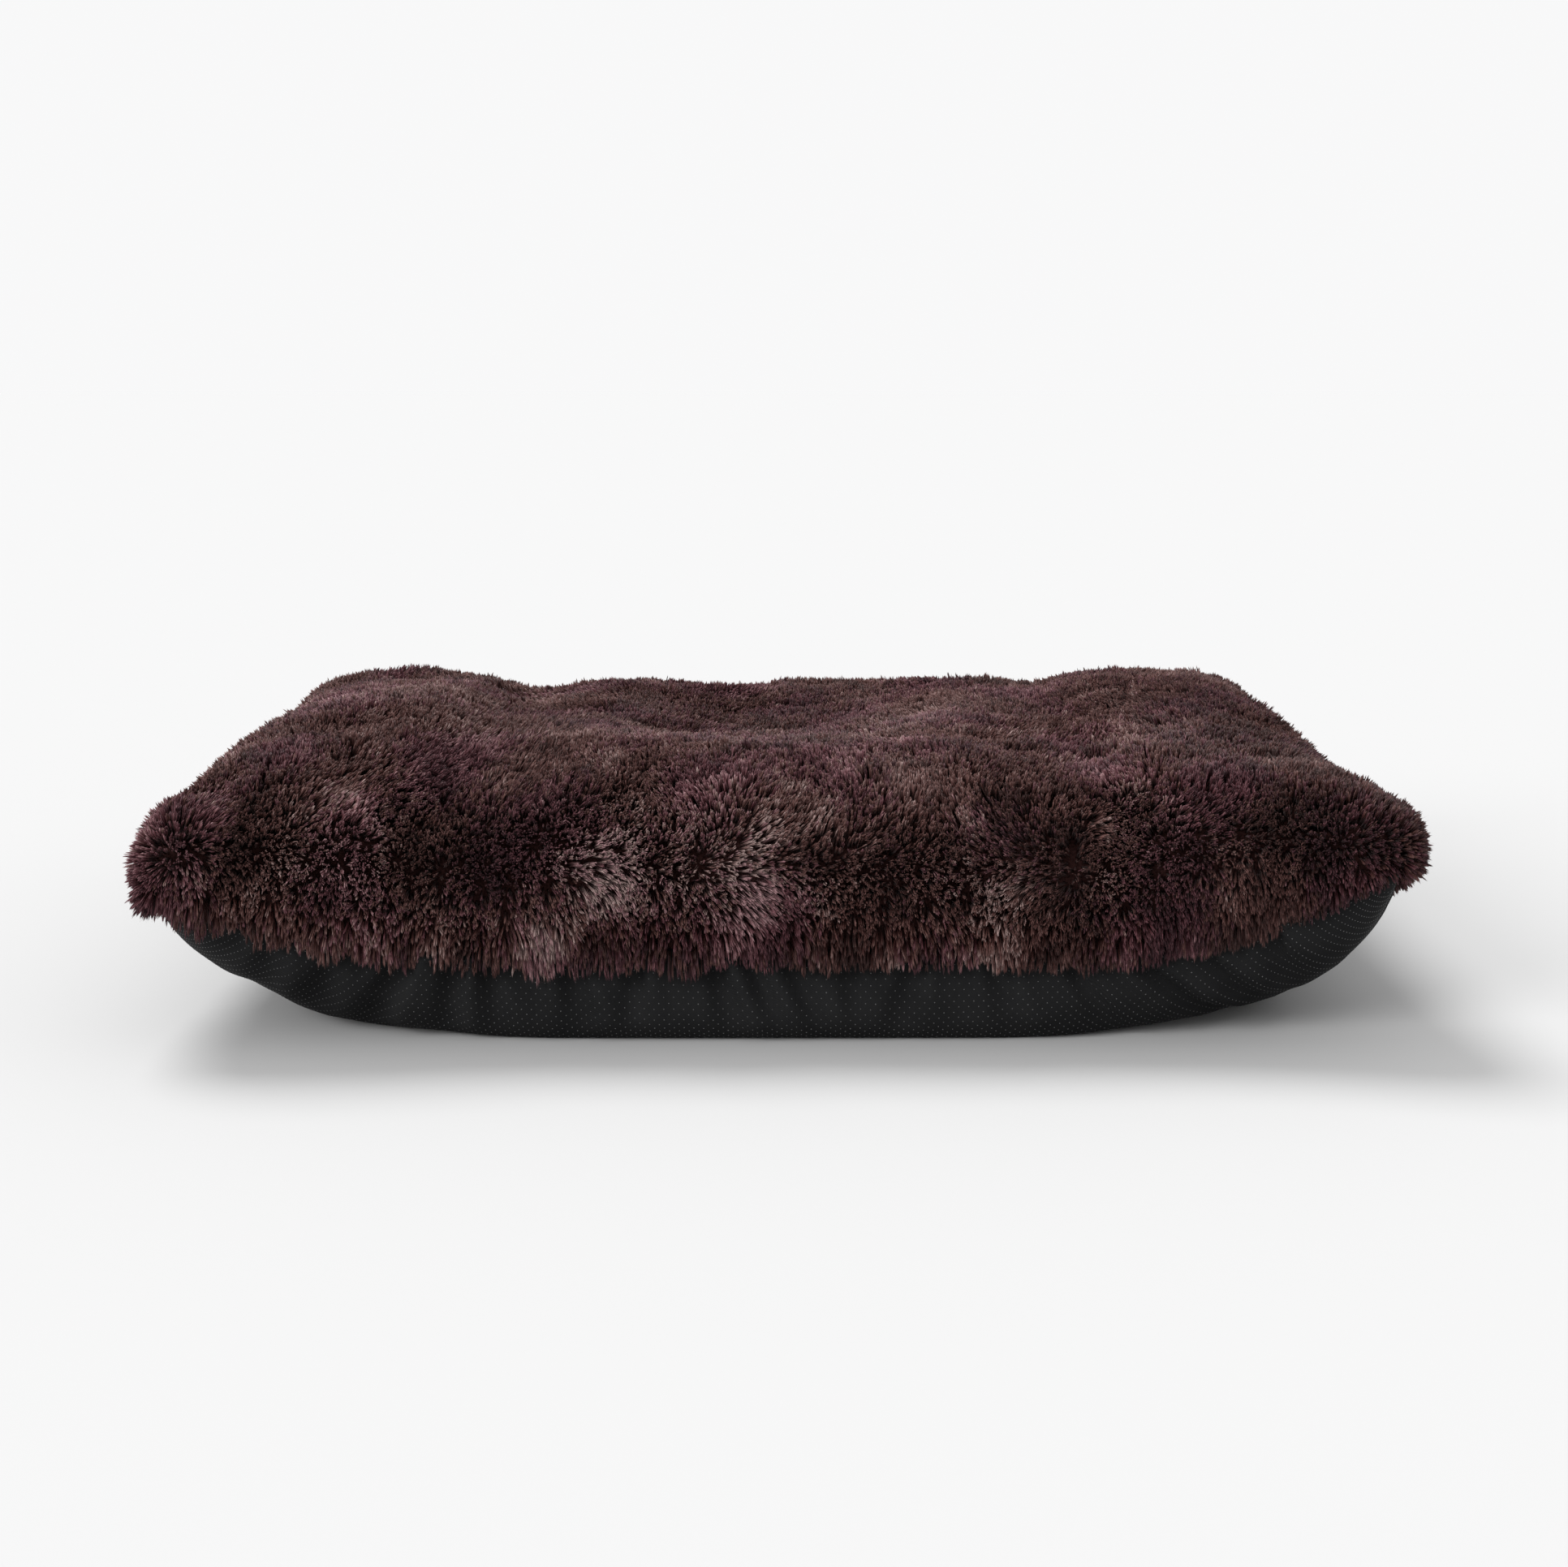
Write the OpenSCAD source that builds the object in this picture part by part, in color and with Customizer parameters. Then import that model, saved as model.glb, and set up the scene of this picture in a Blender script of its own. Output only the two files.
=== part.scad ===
// Large pet cushion bed: a fibre-filled inner cushion in a zipped cover with a
// deep-pile top and a non-slip base. Millimetres, +Z up. The origin is on the
// floor, under the middle of the bed. The zip runs along the back, at +Y.

/* [Cushion] */
// Length of the cover between the corner tips of a long side, without the pile
corner_span_x = 1170; // [1000:10:1300]
// Length of the cover between the corner tips of a short side, without the pile
corner_span_y = 864; // [760:8:960]
// How far the middle of a short side pulls in between its corners
waist_x = 24; // [10:1:40]
// How far the middle of a long side pulls in between its corners
waist_y = 32; // [16:1:40]
// How far each corner tip is rounded off inwards
corner_round = 22; // [0:1:40]
// Height of the seam along the middle of the long sides
seam_z = 90; // [80:1:100]
// Height of the seam along the middle of the short sides
side_seam_z = 116; // [90:1:130]
// Height of the seam at the front left corner tip, which sags the most
front_left_z = 147; // [120:1:180]
// Height of the seam at the front right corner tip
front_right_z = 168; // [120:1:180]
// Height of the seam at the two back corner tips
back_corner_z = 155; // [120:1:180]
// Height of the plain crown above the seam
crown_h = 136; // [110:1:150]

/* [Cover] */
// Thickness of the standing pile
pile_h = 24; // [18:1:28]
// How far the pile hangs down past the seam
pile_droop = 14; // [0:1:18]
// Thickness of the pile's knitted backing
backing_t = 2; // [1:0.5:3]
// Thickness of the non-slip base cloth
base_t = 2; // [1:0.5:3]
// Width of the turned-in seam allowance
allowance_w = 12; // [8:1:14]

/* [Zip] */
// Length of the row of coils, end to end
zip_len = 700; // [500:2:710]
// Width of one zip tape
tape_w = 13; // [11:0.5:14]
// Clear height of the slot between the two cloth edges at the zip
slot_h = 12.5; // [12:0.5:16]
// Radius of one coil row
coil_r = 1.15; // [1:0.05:1.25]
// Length of the slider's body
slider_len = 13; // [11:0.5:15]
// Length of the pull tab from its cross-bar to its tip
pull_len = 31; // [24:1:36]

/* [Inner cushion] */
// Clear distance from the cover's face to the liner's face
liner_inset = 8; // [8:0.5:11]
// Thickness of the liner cloth
liner_t = 1; // [1:0.5:2]
// How deep the top dips over each baffle
baffle_dip = 15; // [0:1:25]

/* [Hidden] */

// Grid of the cushion's panels, along X and along Y
nx = 28;
ny = 22;
// Grid columns at which the two baffles stand
baffle_cols = [10, 18];
// Share of a side's half length that runs straight before it lifts to the corner,
// and what the zip adds to it along the back
straight_share = 0.5;
back_straight = 0.17;
// Larger makes the lift happen closer to the corner tip
rise_power = 1.5;
// Larger carries the crown's full height closer to the edges
fullness = 5.4;
// Below 1 makes the crown stand up steeply from the seam
top_power = 0.3;
// How soon the underside meets the floor, how softly, and how much later it does
// so towards the two ends
base_reach = 2.6;
base_soft = 1.25;
end_lift = 1.25;
// Half the hairline gap that keeps upper and lower panels apart at the seam
seam_gap = 0.25;
// Hills and hollows of the loose filling: x, y, half width, half depth, height
lumps = [
    [-390, -110, 190, 240, 38],
    [400, 20, 230, 260, 30],
    [20, -270, 250, 110, 10],
    [-10, 50, 210, 190, -34],
    [-470, 330, 150, 90, 13],
    [490, 330, 150, 90, 4]
];

half_x = corner_span_x / 2;
half_y = corner_span_y / 2;
cloth_grey = [0.13, 0.13, 0.13];
liner_cream = [0.82, 0.8, 0.75];
zip_black = [0.06, 0.06, 0.06];

// Places on the zip. Its centre line runs along X at the height of the seam
zip_half = zip_len / 2;
back_y = half_y - waist_y;              // the cover's face at the zip
tape_t = 0.6;
tape_y = back_y - 4.1;                  // the inner face of both tapes
tape_face = tape_y + tape_t;            // their outer face, which the coils are sewn to
tape_gap = 0.9;                         // from the centre line to a tape's edge
tape_past = 10;                         // how far a tape runs on past the coils
coil_y = tape_face + coil_r;
coil_off = coil_r + 0.75;               // from the centre line to a coil row's axis
run_gap = 0.3;                          // running clearance of the slider
stop_w = 2.8;                           // along the zip
stop_d = 2.5;                           // out from the tapes
stop_gap = 0.2;                         // from a stop to the coils
slot_past = 40;                         // how far the slot runs on past the coils, for the pull tab
slot_fade = 26;                         // over what length the slot closes up
slider_x = zip_half - stop_w - slider_len / 2 - run_gap;
slider_face = coil_y + coil_r + run_gap + 1.2;  // the outer face of the slider's outer plate

// ---- The cushion's shape -------------------------------------------------

function clamp(a) = min(1, max(0, a));
function smooth(a) = let (c = clamp(a)) c * c * (3 - 2 * c);

// 0 along a side's straight middle, 1 at its ends. The back, at v = 1, is
// straight for longer
function rise(t, v = 0) =
    let (share = straight_share + back_straight * clamp(v))
    pow(clamp((abs(t) - share) / (1 - share)), rise_power);
function tip(u, v) = pow(clamp((abs(u) - 0.7) / 0.3), 2) * pow(clamp((abs(v) - 0.7) / 0.3), 2);

// Plan position of u, v in -1..1, on the layer inset by d
function plan(u, v, d) =
    let (cut = 1 - corner_round / half_x * tip(u, v))
    [u * cut * (half_x - waist_x * (1 - rise(v))) * (1 - d / half_x),
     v * cut * (half_y - waist_y * (1 - rise(u, v))) * (1 - d / half_y)];

// Height of the seam surface, which parts the upper panels from the lower ones
function tip_z(u, v) = v > 0 ? back_corner_z : (u < 0 ? front_left_z : front_right_z);
function seam_height(u, v) =
    seam_z + (side_seam_z - seam_z) * rise(u, v) * (1 - rise(v))
    + (tip_z(u, v) - seam_z) * rise(u, v) * rise(v);

// Half the zip's slot in the cover: full along the zip at the back edge, and 0 elsewhere
function slot_part(u, v, d) =
    let (x = abs(u) * half_x)
    d < liner_inset ? (1 - smooth((x - zip_half - slot_past) / slot_fade)) * smooth((v - 0.9) / 0.09) : 0;

function lump_height(x, y) =
    -baffle_dip * (gauss(x + 284, 46) + gauss(x - 284, 46))
    + sum([for (l = lumps) l[4] * gauss(x - l[0], l[2]) * gauss(y - l[1], l[3])]);
function gauss(a, w) = exp(-(a * a) / (w * w));
function sum(list) = list * [for (i = list) 1];

// A grid parameter from -1 to 1, closer set towards the seam
function at(i, n) = -90 + 180 * i / n;

// Upper surface, at grid i, j on the layer inset by d
function top_point(i, j, d) =
    let (a = at(i, nx), b = at(j, ny), u = sin(a), v = sin(b),
         g = pow((1 - pow(abs(u), fullness)) * (1 - pow(abs(v), fullness)), top_power),
         p = plan(u, v, d), out = max(0, -d) / pile_h, slot = slot_part(u, v, d))
    [p[0], p[1],
     seam_height(u, v) + seam_gap + slot * slot_h / 2
     + (crown_h + lump_height(p[0], p[1]) - d) * g
     - out * pile_droop * (1 - slot) * pow(1 - g, 5)];

// Lower surface, resting flat on the floor in the middle
function base_point(i, j, d) =
    let (a = at(i, nx), b = at(j, ny), u = sin(a), v = sin(b),
         q = clamp(base_reach * pow(cos(a), end_lift) * cos(b)),
         g = 1 - pow(1 - q, base_soft), p = plan(u, v, d))
    [p[0], p[1],
     (seam_height(u, v) - seam_gap - slot_part(u, v, d) * slot_h / 2) * (1 - g) + d * g];

// Grid of points on one layer, over columns i0 to i1. Inner ends are set in by end_gap
function end_shift(i, i0, i1, gap) =
    i == i0 && i0 > 0 ? gap : (i == i1 && i1 < nx ? -gap : 0);
function top_grid(d, i0 = 0, i1 = nx, gap = 0) =
    [for (i = [i0:i1]) [for (j = [0:ny]) top_point(i, j, d) + [end_shift(i, i0, i1, gap), 0, 0]]];
function base_grid(d, i0 = 0, i1 = nx, gap = 0) =
    [for (i = [i0:i1]) [for (j = [0:ny]) base_point(i, j, d) + [end_shift(i, i0, i1, gap), 0, 0]]];

// One closed solid between an upper and a lower grid of points
module between(upper, lower) {
    n = len(upper) - 1;
    m = len(upper[0]) - 1;
    w = m + 1;
    low = (n + 1) * w;
    points = [for (g = [upper, lower]) for (row = g) for (p = row) p];
    // The border's points in order, seen from above, anticlockwise
    rim = concat([for (i = [0:n - 1]) i * w], [for (j = [0:m - 1]) n * w + j],
        [for (i = [n:-1:1]) i * w + m], [for (j = [m:-1:1]) j]);
    sheet = [for (i = [0:n - 1]) for (j = [0:m - 1]) for (f = [
            [i * w + j, (i + 1) * w + j + 1, (i + 1) * w + j],
            [i * w + j, i * w + j + 1, (i + 1) * w + j + 1]]) f];
    wall = [for (k = [0:len(rim) - 1]) let (a = rim[k], b = rim[(k + 1) % len(rim)])
            for (f = [[a, b, low + b], [a, low + b, low + a]]) f];
    polyhedron(points,
        concat(sheet, [for (f = sheet) [low + f[2], low + f[1], low + f[0]]], wall),
        convexity = 6);
}

// ---- Cover ---------------------------------------------------------------

module fur_pile() {
    color([0.24, 0.16, 0.155]) between(top_grid(-pile_h), top_grid(0));
}

module fur_backing() {
    color([0.16, 0.11, 0.11]) between(top_grid(0), top_grid(backing_t));
}

module base_panel() {
    color(cloth_grey) between(base_grid(base_t), base_grid(0));
}

// Grid index one step in from the border, or k itself away from the border
function inwards(k, n) = k == 0 ? 1 : (k == n ? n - 1 : k);

// The two cloths' raw edges, turned in and lying down inside the base. It runs
// from one end of the zip round the front to the other end
module cover_seam_allowance() {
    zip_clear = 20;
    depth = [base_t + 0.6, base_t + 3];
    from_seam = [1.5, allowance_w];
    i_zip = [for (i = [0:nx]) if (half_x * sin(at(i, nx)) > zip_half + zip_clear) i][0];
    route = concat(
        [for (i = [i_zip:nx]) [i, ny]], [for (j = [ny - 1:-1:0]) [nx, j]],
        [for (i = [nx - 1:-1:0]) [i, 0]], [for (j = [1:ny]) [0, j]],
        [for (i = [1:nx - i_zip]) [i, ny]]);
    // A point on the band: w along the cloth from the seam, on the layer inset by d
    function band(r, d, w) =
        let (p = base_point(r[0], r[1], d),
             q = base_point(inwards(r[0], nx), inwards(r[1], ny), d))
        p + (q - p) * w / norm(q - p);
    points = [for (r = route) for (c = [[0, 0], [1, 0], [1, 1], [0, 1]])
            band(r, depth[c[0]], from_seam[c[1]])];
    last = 4 * (len(route) - 1);
    sides = [for (k = [0:len(route) - 2]) for (c = [0:3])
            let (a = 4 * k + c, b = 4 * k + (c + 1) % 4)
            for (f = [[a, b + 4, b], [a, a + 4, b + 4]]) f];
    ends = [[0, 1, 2], [0, 2, 3], [last, last + 2, last + 1], [last, last + 3, last + 2]];
    color(cloth_grey) polyhedron(points, concat(sides, ends), convexity = 8);
}

// A folded satin label, left blank, sewn into the back seam beside the zip
module care_label() {
    label_w = 26;
    label_h = 42;
    label_t = 0.6;
    below_seam = 4;
    color([0.85, 0.85, 0.83])
        translate([zip_half + slot_past, back_y + 1.9, seam_z - below_seam - label_h])
            cube([label_w, label_t, label_h]);
}

// ---- Zip -----------------------------------------------------------------

// Everything on the zip is drawn about its centre line at the middle of the back
module at_zip(x = 0) {
    translate([x, 0, seam_z]) children();
}

module zip_tape(side) {
    color(zip_black) at_zip()
        translate([-zip_half - tape_past, tape_y, side > 0 ? tape_gap : -tape_gap - tape_w])
            cube([zip_len + 2 * tape_past, tape_t, tape_w]);
}

module zip_coil(side) {
    color(zip_black) at_zip(-zip_half + stop_w + stop_gap)
        translate([0, coil_y, side * coil_off]) rotate([0, 90, 0])
            cylinder(r = coil_r, h = zip_len - 2 * (stop_w + stop_gap), $fn = 24);
}

// One clamped metal stop at the end of each coil row, where the zip closes
module zip_top_stops() {
    stop_h = 2.6;
    apart = 0.7;
    color("silver") at_zip(zip_half - stop_w) for (side = [-1, 1])
        translate([0, tape_face, side > 0 ? apart : -apart - stop_h])
            cube([stop_w, stop_d, stop_h]);
}

// One wider stop across both rows, where the zip starts
module zip_bottom_stop() {
    stop_h = 6.6;
    color("silver") at_zip(-zip_half) translate([0, tape_face, -stop_h / 2])
        cube([stop_w, stop_d, stop_h]);
}

// Slider: two plates joined by the post that parts the rows, edges that hold the
// coils in, and the arch that the pull tab hangs on
module zip_slider() {
    half_w = 4.2;
    channel = 3.35;
    outer = coil_y + coil_r + run_gap;
    inner = tape_y - 0.4;
    inner_t = 1.3;
    edge_y = tape_face + run_gap;
    post = [4, outer - inner, 0.9];
    post_x = 1.5;
    arch = [8.4, 4.2, 2.2];
    arch_x = -3.4;
    arch_t = [1.3, 1];
    cut = 1;
    color("silver") at_zip(slider_x) {
        // Outer plate
        translate([-slider_len / 2, outer, -half_w])
            cube([slider_len, slider_face - outer, 2 * half_w]);
        // Inner plate
        translate([-slider_len / 2, inner - inner_t, -half_w])
            cube([slider_len, inner_t, 2 * half_w]);
        // Edges
        for (side = [-1, 1])
            translate([-slider_len / 2, edge_y, side > 0 ? channel : -half_w])
                cube([slider_len, outer - edge_y, half_w - channel]);
        // Post
        translate([post_x, inner, -post[2] / 2]) cube(post);
        // Arch
        translate([arch_x, slider_face, -arch[2] / 2]) difference() {
            cube(arch);
            translate([arch_t[0], -cut, -cut])
                cube([arch[0] - 2 * arch_t[0], arch[1] - arch_t[1] + cut, arch[2] + 2 * cut]);
        }
    }
}

// The pull tab swings on its cross-bar, which passes under the slider's arch.
// It lies flat along the zip, pointing away from the closed end
pull_x = slider_x + 1.2;
pull_y = slider_face + 1.75;
module zip_pull_tab() {
    bar_r = 0.7;
    arm_z = [1.5, 2.9];
    eye_len = 8;
    tab_t = 1.2;
    tip_r = 3.5;
    hole_r = 1.6;
    hole_x = -pull_len + tip_r + 1;
    color("silver") at_zip() translate([pull_x, pull_y, 0]) {
        translate([0, 0, -arm_z[1]]) cylinder(r = bar_r, h = 2 * arm_z[1], $fn = 32);
        for (side = [-1, 1])
            translate([-eye_len - 1, -tab_t / 2, side > 0 ? arm_z[0] : -arm_z[1]])
                cube([eye_len + 1, tab_t, arm_z[1] - arm_z[0]]);
        difference() {
            translate([-pull_len + tip_r, tab_t / 2, 0]) rotate([90, 0, 0])
                linear_extrude(tab_t) union() {
                    circle(r = tip_r, $fn = 40);
                    translate([0, -tip_r]) square([pull_len - tip_r - eye_len, 2 * tip_r]);
                }
            // Finger hole
            translate([hole_x, tab_t, 0]) rotate([90, 0, 0])
                cylinder(r = hole_r, h = 2 * tab_t, $fn = 32);
        }
    }
}

// ---- Inner cushion -------------------------------------------------------

liner_in = liner_inset + liner_t;
fill_inset = liner_in + 1;
baffle_t = 0.8;
fill_gap = 1.5;                         // from a fill's end to the middle of the baffle beside it

module liner_top() {
    color(liner_cream) between(top_grid(liner_inset), top_grid(liner_in));
}

module liner_bottom() {
    color(liner_cream) between(base_grid(liner_in), base_grid(liner_inset));
}

// Inner wall that keeps the filling of two chambers apart
module baffle(col) {
    faces = [-baffle_t / 2, baffle_t / 2];
    rows = [1:ny - 1];
    upper = [for (dx = faces) [for (j = rows) top_point(col, j, fill_inset) + [dx, 0, 0]]];
    lower = [for (dx = faces) [for (j = rows) base_point(col, j, fill_inset) + [dx, 0, 0]]];
    color(liner_cream) between(upper, lower);
}

// Hollow-fibre filling of the chamber between two grid columns
module fill(i0, i1) {
    color([0.95, 0.95, 0.94])
        between(top_grid(fill_inset, i0, i1, fill_gap), base_grid(fill_inset, i0, i1, fill_gap));
}

fur_pile();
fur_backing();
base_panel();
cover_seam_allowance();
zip_tape(1);  // zip_tape_upper
zip_tape(-1);  // zip_tape_lower
zip_coil(1);  // zip_coil_upper
zip_coil(-1);  // zip_coil_lower
zip_top_stops();
zip_bottom_stop();
zip_slider();
zip_pull_tab();
care_label();
liner_top();
liner_bottom();
baffle(baffle_cols[0]);  // baffle_left
baffle(baffle_cols[1]);  // baffle_right
fill(0, baffle_cols[0]);  // fill_left
fill(baffle_cols[0], baffle_cols[1]);  // fill_centre
fill(baffle_cols[1], nx);  // fill_right
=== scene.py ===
import math

import bpy
import numpy as np
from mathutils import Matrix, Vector


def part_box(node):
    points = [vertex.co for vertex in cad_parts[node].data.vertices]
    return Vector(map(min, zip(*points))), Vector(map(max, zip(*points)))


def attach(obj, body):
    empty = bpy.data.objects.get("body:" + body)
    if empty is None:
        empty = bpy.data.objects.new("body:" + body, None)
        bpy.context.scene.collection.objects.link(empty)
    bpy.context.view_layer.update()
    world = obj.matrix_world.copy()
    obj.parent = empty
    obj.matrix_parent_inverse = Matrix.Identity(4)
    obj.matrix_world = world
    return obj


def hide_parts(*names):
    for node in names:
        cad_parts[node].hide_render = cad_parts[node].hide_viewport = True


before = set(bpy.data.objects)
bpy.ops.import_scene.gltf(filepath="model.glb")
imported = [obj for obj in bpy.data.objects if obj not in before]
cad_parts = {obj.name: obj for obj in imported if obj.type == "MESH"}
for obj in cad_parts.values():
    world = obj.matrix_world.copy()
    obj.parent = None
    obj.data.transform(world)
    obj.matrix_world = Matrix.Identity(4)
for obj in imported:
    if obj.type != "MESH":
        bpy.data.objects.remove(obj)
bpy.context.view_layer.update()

# Pet cushion bed: pile made of real tufts, a dotted non-slip base cloth with
# tension folds, a coil zip along the back and an inner cushion with two inner
# walls. Metres: +Z up, the front is at -Y and the zip at +Y.

MM = 0.001

# ---- Fields and grids ----


def unit(vectors):
    """The vectors, each made one long."""
    return vectors / np.maximum(np.linalg.norm(vectors, axis=-1, keepdims=True), 1e-12)


def smooth(x):
    """0 below 0, 1 above 1, and an even curve between them."""
    x = np.clip(x, 0, 1)
    return x * x * (3 - 2 * x)


def waves(points, wavelength, seed, count=24):
    """A smooth random field of about unit size, and its slope, at points (n, 3)."""
    rng = np.random.default_rng(seed)
    k = unit(rng.normal(size=(count, 3)))
    k *= 2 * math.pi / wavelength * rng.uniform(0.65, 1.35, (count, 1))
    angle = points @ k.T + rng.uniform(0, 2 * math.pi, count)
    scale = math.sqrt(2 / count)
    return np.cos(angle).sum(1) * scale, -(np.sin(angle) @ k) * scale


def nearness(points, centre, reach):
    """1 at a centre, fading away from it over a reach, both in millimetres."""
    return np.exp(-((points - np.array(centre) * MM) ** 2).sum(1) / (reach * MM) ** 2)


def spokes(side, other, angle):
    """Unit directions at angles across an axis, from its two side vectors."""
    return np.cos(angle)[:, None] * side + np.sin(angle)[:, None] * other


def sheet_grid(node, up):
    """The outer points of a two-layer CAD panel as [column, row, xyz], found by
    walking its triangles from the front left corner."""
    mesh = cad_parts[node].data
    places = np.empty(len(mesh.vertices) * 3, np.float32)
    mesh.vertices.foreach_get("co", places)
    points, index = np.unique(np.round(places.reshape(-1, 3), 6), axis=0, return_inverse=True)
    mesh.calc_loop_triangles()
    corners = np.empty(len(mesh.loop_triangles) * 3, np.int32)
    mesh.loop_triangles.foreach_get("vertices", corners)
    tris = index.ravel()[corners].reshape(-1, 3)
    a, b, c = (points[tris[:, k]] for k in range(3))
    rises = np.cross(b - a, c - a)[:, 2]
    tris = tris[rises > 0] if up else tris[rises < 0][:, ::-1]
    third = {}
    for p, q, r in tris.tolist():
        third[p, q], third[q, r], third[r, p] = r, p, q
    after = {p: q for p, q in third if (q, p) not in third}
    before = {q: p for p, q in after.items()}
    end = min(after, key=lambda v: points[v][1] - points[v][0])
    row = [min(after, key=lambda v: points[v][0] + points[v][1])]
    while row[-1] != end:
        row.append(after[row[-1]])
    rows = [row]
    while (row[0], row[1]) in third:
        row = [before[row[0]]] + [third[edge] for edge in zip(row, row[1:])]
        rows.append(row)
    return points[np.array(rows)].transpose(1, 0, 2).astype(float)


def spline(n, places):
    """Weights that carry n evenly spaced values to places, on a smooth curve through them."""
    weights = np.zeros((len(places), n))
    cell = np.clip(np.floor(places).astype(int), 0, n - 2)
    t = places - cell
    basis = (-0.5 * t + t**2 - 0.5 * t**3, 1 - 2.5 * t**2 + 1.5 * t**3,
             0.5 * t + 2 * t**2 - 1.5 * t**3, -0.5 * t**2 + 0.5 * t**3)
    line = np.arange(len(places))
    for step, share in zip((-1, 0, 1, 2), basis):
        at = cell + step
        past = np.where(at < 0, 1, 0) - np.where(at > n - 1, 1, 0)
        edge = np.clip(at, 0, n - 1)
        np.add.at(weights, (line, edge), np.where(past == 0, share, 2 * share))
        np.add.at(weights, (line, np.clip(edge + past, 0, n - 1)), np.where(past == 0, 0, -share))
    return weights


def refine(grid, across, along):
    """The grid resampled at places given in cells across its columns and along its rows."""
    return np.einsum("ai,ijk,bj->abk", spline(grid.shape[0], across), grid,
                     spline(grid.shape[1], along))


def even_places(grid, axis, step):
    """Places along one axis, in cells, about a step apart over the surface."""
    run = np.linalg.norm(np.diff(grid, axis=axis), axis=2).mean(axis=1 - axis)
    run = np.concatenate([[0], np.cumsum(run)])
    return np.interp(np.linspace(0, run[-1], round(run[-1] / step) + 1), run, np.arange(len(run)))


def even_grid(grid, step, raised=0.0):
    """A smooth grid through a coarse one, with cells about a step wide at a height over it."""
    fine = 8
    dense = refine(grid, np.arange(0, grid.shape[0] - 1 + 1e-9, 1 / fine),
                   np.arange(0, grid.shape[1] - 1 + 1e-9, 1 / fine))
    dense = dense + raised * normals(dense)
    return refine(grid, even_places(dense, 0, step) / fine, even_places(dense, 1, step) / fine)


def normals(grid):
    """Unit normals of a grid. They point up on the crown, and up on the base too."""
    return unit(np.cross(np.gradient(grid, axis=0), np.gradient(grid, axis=1)))


def bilinear(array, s, t):
    """Values of a grid array at places s, t in cells."""
    i = np.clip(s.astype(int), 0, array.shape[0] - 2)
    j = np.clip(t.astype(int), 0, array.shape[1] - 2)
    a, b = (s - i)[:, None], (t - j)[:, None]
    return ((1 - a) * (1 - b) * array[i, j] + a * (1 - b) * array[i + 1, j]
            + (1 - a) * b * array[i, j + 1] + a * b * array[i + 1, j + 1])


def rim(grid):
    """The grid's border, once round from the front left corner, anticlockwise from above."""
    return np.concatenate([grid[:-1, 0], grid[-1, :-1], grid[:0:-1, -1], grid[0, :0:-1]])


# ---- Meshes ----


def make_piece(name, points, faces, material):
    """A mesh piece from points (n, 3) and a list of index arrays, one per face size."""
    mesh = bpy.data.meshes.new(name)
    sizes = np.concatenate([np.full(len(f), f.shape[1]) for f in faces])
    corners = np.concatenate([f.ravel() for f in faces]).astype(np.int32)
    mesh.vertices.add(len(points))
    mesh.vertices.foreach_set("co", np.asarray(points, np.float32).ravel())
    mesh.loops.add(len(corners))
    mesh.loops.foreach_set("vertex_index", corners)
    mesh.polygons.add(len(sizes))
    starts = np.concatenate([[0], np.cumsum(sizes)[:-1]]).astype(np.int32)
    mesh.polygons.foreach_set("loop_start", starts)
    mesh.update(calc_edges=True)
    mesh.validate()
    mesh.polygons.foreach_set("use_smooth", np.full(len(sizes), True))
    mesh.materials.append(material)
    piece = bpy.data.objects.new(name, mesh)
    bpy.context.scene.collection.objects.link(piece)
    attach(piece, "bed")
    return piece


def grid_faces(n, m, start=0, flip=False):
    """Quads of an n by m grid of points, stored column by column."""
    i, j = np.meshgrid(np.arange(n - 1), np.arange(m - 1), indexing="ij")
    a = (i * m + j).ravel() + start
    quads = np.stack([a, a + m, a + m + 1, a + 1], 1)
    return quads[:, ::-1] if flip else quads


def rim_index(n, m, start=0):
    """Indices of the border of such a grid, in the order of rim()."""
    return rim(np.arange(n * m).reshape(n, m)) + start


def closed_shell(name, upper, lower, material):
    """One closed piece between an upper and a lower grid of the same size."""
    n, m = upper.shape[:2]
    a, b = rim_index(n, m), rim_index(n, m, n * m)
    wall = np.stack([a, b, np.roll(b, -1), np.roll(a, -1)], 1)
    faces = [np.concatenate([grid_faces(n, m), grid_faces(n, m, n * m, flip=True), wall])]
    points = np.concatenate([upper.reshape(-1, 3), lower.reshape(-1, 3)])
    return make_piece(name, points, faces, material)


def tube_points(path, radius, sides):
    """Rings round a path (n, 3), as [place, side, xyz]. The frame keeps clear of twists."""
    ahead = unit(np.gradient(path, axis=0))
    side = unit(np.cross(ahead, unit(np.cross(ahead[0], [0.31, 0.27, 0.91]))[None]))
    angle = np.arange(sides) * 2 * math.pi / sides
    return path[:, None] + radius * spokes(side[:, None], np.cross(side, ahead)[:, None], angle)


def tube_faces(n, sides, start=0):
    """Quads along the tube, and its two end caps."""
    index = start + np.arange(n * sides).reshape(n, sides)
    a, b = index[:-1], index[1:]
    quads = np.stack([a, np.roll(a, -1, 1), np.roll(b, -1, 1), b], -1).reshape(-1, 4)
    return quads, np.array([index[0][::-1], index[-1]])


# ---- Materials ----


def new_material(name, roughness=0.8, **sockets):
    """A node material and its Principled shader, with the given constant sockets."""
    material = bpy.data.materials.new(name)
    material.use_nodes = True
    shader = material.node_tree.nodes["Principled BSDF"]
    shader.inputs["Roughness"].default_value = roughness
    for socket, value in sockets.items():
        shader.inputs[socket.replace("_", " ")].default_value = value
    return material, material.node_tree, shader


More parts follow.
